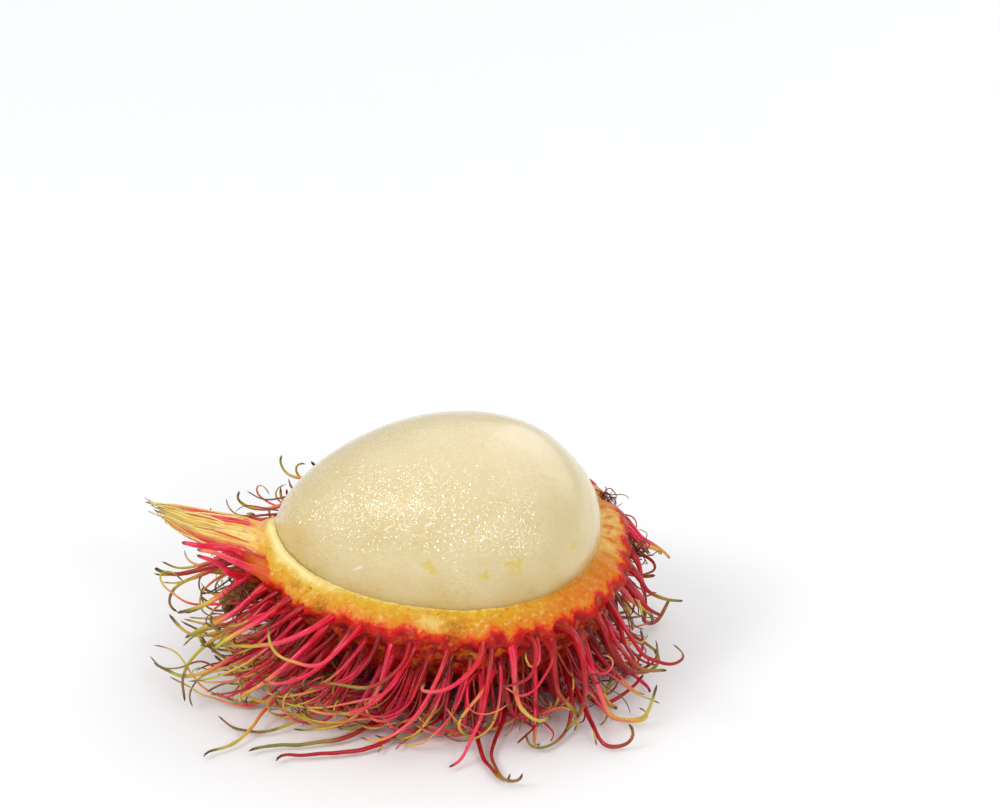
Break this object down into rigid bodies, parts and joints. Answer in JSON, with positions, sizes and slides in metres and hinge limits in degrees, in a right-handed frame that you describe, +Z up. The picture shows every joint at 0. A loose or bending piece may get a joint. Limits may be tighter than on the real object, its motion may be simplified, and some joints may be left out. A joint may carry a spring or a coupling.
{
  "type": "opened rambutan",
  "caption": "Rambutan fruit with the upper half of its spiny red peel taken off, showing the whole pale aril seated in the lower cup.",
  "frame": {"origin": "middle of the small flat spot under the peel that the fruit rests on", "axes": "+Z up, +X along the fruit from its stalk end to its blunt end, and the cut face leans towards -Y"},
  "size_m": [0.0685, 0.0608, 0.0352],
  "materials": {
    "peel": "moist leathery rind, crimson outside, orange to yellow on the cut, with soft spines that fade to yellow-green",
    "aril": "wet translucent flesh, creamy white",
    "stalk": "dry brown fibrous stub"
  },
  "bodies": {
    "root": {"peel": "peel", "aril": "aril", "stalk_stub": "stalk"}
  },
  "joints": []
}
